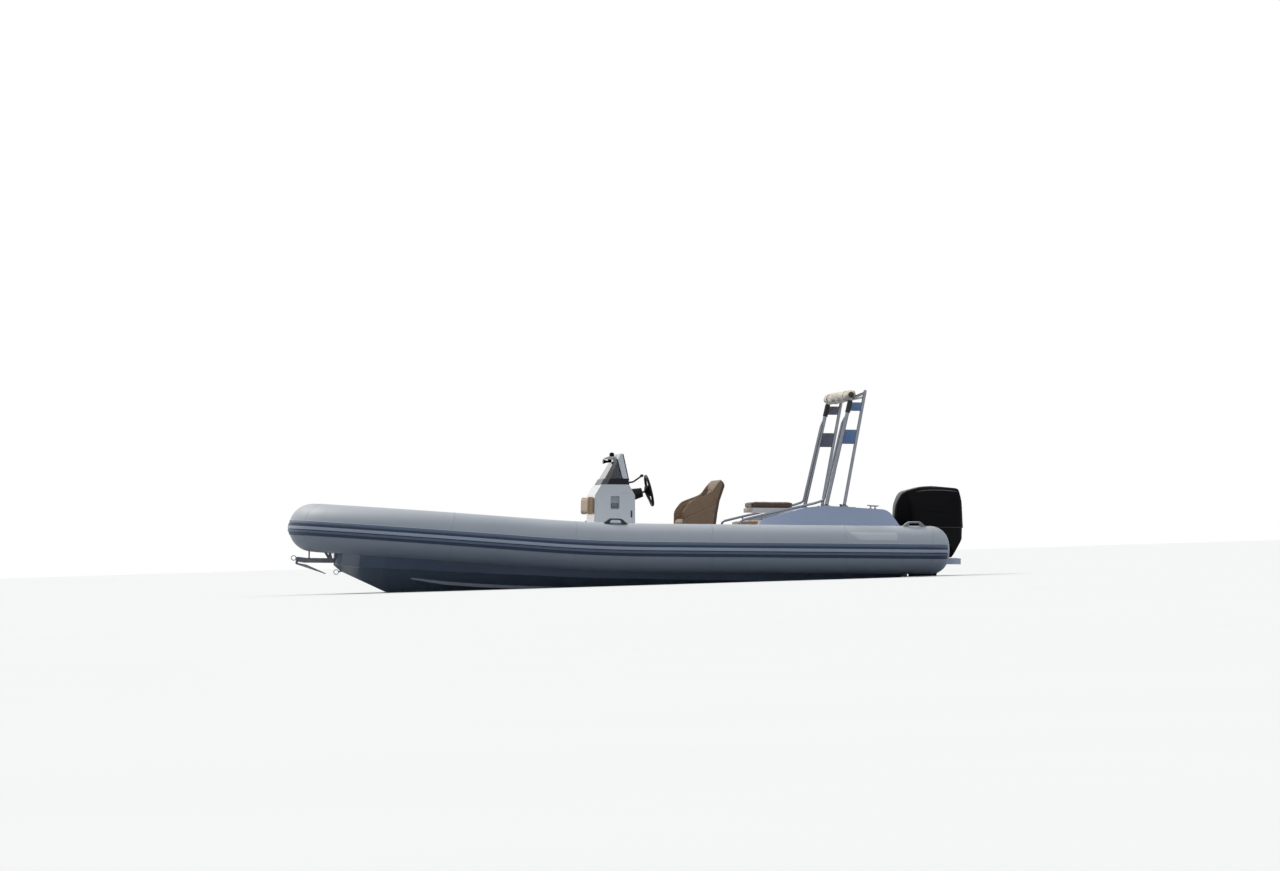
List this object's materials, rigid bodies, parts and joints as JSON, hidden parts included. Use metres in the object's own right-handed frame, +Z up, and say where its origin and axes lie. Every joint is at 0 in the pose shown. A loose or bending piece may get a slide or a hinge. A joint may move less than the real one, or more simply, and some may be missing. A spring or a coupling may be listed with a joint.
{
  "type": "rigid inflatable boat with outboard engine",
  "caption": "Rigid-hulled inflatable boat afloat, with console, helm seat, aft bench, roll bar, bow locker, anchor roller and a tilting, steering outboard engine.",
  "frame": {"origin": "on the centreline amidships, at the water surface the boat floats on", "axes": "+X forward along the water, +Y to port, +Z up; the boat floats trimmed 2.2 degrees bow up"},
  "size_m": [7.1141, 2.522, 2.8986],
  "materials": {
    "collar_fabric": "coated fabric, satin",
    "strake_dark": "matte rubber",
    "strake_light": "matte rubber",
    "gelcoat": "glossy gelcoat",
    "deck_grip": "non-slip moulding",
    "smoked_screen": "smoked acrylic",
    "screen_frame": "satin grey",
    "white_metal": "white enamel",
    "black_gloss": "glossy black",
    "black_matte": "matte black",
    "upholstery": "smooth upholstery vinyl",
    "upholstery_dark": "dark brown upholstery vinyl",
    "canvas": "woven canvas",
    "stainless": "polished stainless steel",
    "gusset_rubber": "black rubber",
    "engine_metal": "black enamel",
    "bracket_metal": "black enamel",
    "galvanised": "galvanised steel"
  },
  "bodies": {
    "boat": {"tube_port": "collar_fabric", "tube_starboard": "collar_fabric", "tube_bow": "collar_fabric", "rub_strake": "strake_dark", "strake_stripes": "strake_light", "side_liners": "gelcoat", "bow_liner": "gelcoat", "hull": "gelcoat", "cockpit_sole": "deck_grip", "transom": "gelcoat", "coaming_port": "gelcoat", "coaming_starboard": "gelcoat", "swim_platforms": "gelcoat", "bow_deck": "gelcoat", "bow_lid_hinge": "stainless", "console": "gelcoat", "windscreen": "smoked_screen", "windscreen_frame": "screen_frame", "light_bracket": "white_metal", "masthead_light": "black_gloss", "horn": "stainless", "console_backrest": "upholstery", "console_seat": "gelcoat", "console_seat_cushion": "upholstery", "helm_hub": "black_matte", "throttle": "black_matte", "helm_seat_shell": "upholstery", "helm_seat_cushion": "upholstery", "helm_seat_base": "gelcoat", "bench": "gelcoat", "bench_cushion": "upholstery", "backrest_hinge": "stainless", "rollbar_port": "stainless", "rollbar_starboard": "stainless", "rollbar_top": "stainless", "rollbar_sleeves": "gusset_rubber", "canvas_roll": "canvas", "hand_rails": "stainless", "grab_handles": "gusset_rubber", "clamp_brackets": "bracket_metal", "bow_roller": "stainless", "anchor": "galvanised", "bow_eye": "stainless", "stern_eyes": "stainless"},
    "tilt_bracket": {"swivel_bracket": "bracket_metal"},
    "engine": {"engine_cowl": "black_gloss", "engine_lower_cover": "black_gloss", "engine_leg": "engine_metal", "gearcase": "engine_metal"},
    "propeller": {"propeller": "engine_metal"},
    "steering_wheel": {"steering_wheel": "black_matte"},
    "bow_lid": {"bow_lid": "gelcoat", "bow_cushion": "upholstery"},
    "backrest": {"backrest_board": "gelcoat", "backrest_cushion": "upholstery_dark"}
  },
  "joints": [
    {"name": "engine_tilt", "type": "hinge", "parent": "boat", "child": "tilt_bracket", "pos_m": [-2.99286, 0, 0.14722], "axis": [0, 1, 0], "range_deg": [0, 68]},
    {"name": "engine_steer", "type": "hinge", "parent": "tilt_bracket", "child": "engine", "pos_m": [-3.09733, 0, 0.0011], "axis": [-0.0384, 0, 0.9993], "range_deg": [-30, 30]},
    {"name": "propeller_spin", "type": "hinge", "parent": "engine", "child": "propeller", "pos_m": [-3.47393, 0, -0.74591], "axis": [0.9993, 0, 0.0384], "continuous": true},
    {"name": "wheel_turn", "type": "hinge", "parent": "boat", "child": "steering_wheel", "pos_m": [-0.4231, 0, 0.98448], "axis": [-0.9789, 0, 0.2045], "range_deg": [-540, 540]},
    {"name": "bow_lid_hinge", "type": "hinge", "parent": "boat", "child": "bow_lid", "pos_m": [2.35405, 0, 0.69347], "axis": [0, 1, 0], "range_deg": [0, 95]},
    {"name": "backrest_hinge", "type": "hinge", "parent": "boat", "child": "backrest", "pos_m": [-1.92746, 0, 0.73055], "axis": [0, -1, 0], "range_deg": [0, 95]}
  ],
  "couplings": [
    {"joint": "wheel_turn", "follows": "engine_steer", "ratio": -18}
  ]
}
